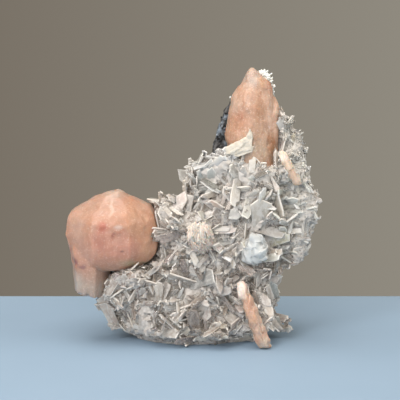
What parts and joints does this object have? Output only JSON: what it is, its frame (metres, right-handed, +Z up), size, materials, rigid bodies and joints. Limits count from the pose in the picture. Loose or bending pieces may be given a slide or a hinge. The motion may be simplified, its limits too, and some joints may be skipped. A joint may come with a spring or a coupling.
{
  "type": "apophyllite cluster",
  "caption": "Free-standing mineral cluster: a crust of thin glassy apophyllite blades on dark basalt, with peach stilbite crystals grown in it and a flat underside.",
  "frame": {"origin": "under the middle of the bounding box, on the surface that the specimen stands on", "axes": "+Z up, towards the tip of the tall crystal; -Y towards the side with the best crystals; +X to the right seen from that side"},
  "size_m": [0.1024, 0.0448, 0.1085],
  "materials": {
    "stilbite": "peach, pearly, finely striated",
    "stilbite_pale": "cream, pearly",
    "stilbite_beige": "beige, translucent",
    "white_crystal": "white, silky",
    "blue_apophyllite": "icy, glassy",
    "basalt": "dark, fine-grained, broken",
    "apophyllite": "glassy blades, greyish pink"
  },
  "bodies": {
    "root": {"stilbite_spire": "stilbite", "stilbite_left": "stilbite", "stilbite_left_stem": "stilbite_beige", "stilbite_foot_lath": "stilbite", "stilbite_shoulder_lath": "stilbite_pale", "stilbite_centre_sheaf": "stilbite_beige", "white_tablet": "white_crystal", "tip_tuft": "white_crystal", "apophyllite_blue_knot": "blue_apophyllite", "basalt_matrix": "basalt", "blade_crust": "apophyllite"}
  },
  "joints": []
}
